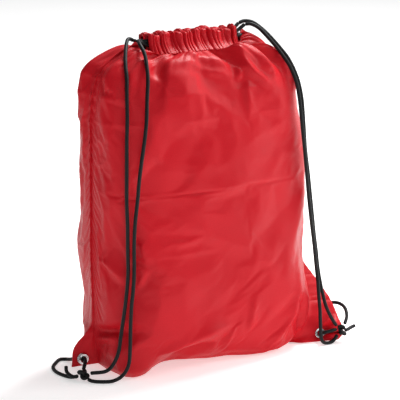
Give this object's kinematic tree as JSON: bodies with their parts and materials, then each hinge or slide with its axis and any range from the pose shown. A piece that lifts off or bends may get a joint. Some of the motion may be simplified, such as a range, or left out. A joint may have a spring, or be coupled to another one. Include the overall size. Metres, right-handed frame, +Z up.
{
  "type": "drawstring backpack",
  "caption": "Gathered drawstring backpack of light cloth, standing stuffed, with round cord straps tied to eyelets in its bottom corners.",
  "frame": {"origin": "on the floor under the middle of the standing bag", "axes": "+Z up, the strap side faces -Y, +X to the right as the strap side is seen"},
  "size_m": [0.3058, 0.1319, 0.324],
  "materials": {
    "bag_cloth": "plain-weave polyester with a slight sheen",
    "seam_thread": "overlocked polyester thread over the cut edge",
    "cord": "round braided polypropylene cord, satin",
    "eyelet_metal": "nickel-plated pressed brass, bright"
  },
  "bodies": {
    "bag": {"front_panel": "bag_cloth", "back_panel": "bag_cloth", "front_channel": "bag_cloth", "back_channel": "bag_cloth", "left_side_seam": "seam_thread", "right_side_seam": "seam_thread", "bottom_seam": "seam_thread", "left_eyelet": "eyelet_metal", "left_eyelet_washer": "eyelet_metal", "right_eyelet": "eyelet_metal", "right_eyelet_washer": "eyelet_metal", "left_drawcord_in_channel": "cord", "left_knot": "cord", "left_tail_loop": "cord", "left_tail_end": "cord", "right_drawcord_in_channel": "cord", "right_knot": "cord", "right_tail_loop": "cord", "right_tail_end": "cord"},
    "left_strap": {"left_strap_outer_run": "cord", "left_strap_inner_run": "cord"},
    "right_strap": {"right_strap_front_run": "cord", "right_strap_back_run": "cord"}
  },
  "joints": [
    {"name": "left_strap_swing", "type": "hinge", "parent": "bag", "child": "left_strap", "pos_m": [-0.067, 0.004, 0.315], "axis": [0.2301, 0.0662, 0.9709], "range_deg": [-90, 0]},
    {"name": "right_strap_swing", "type": "hinge", "parent": "bag", "child": "right_strap", "pos_m": [0.055, 0.004, 0.32], "axis": [-0.2399, 0.2122, 0.9473], "range_deg": [0, 45]}
  ]
}
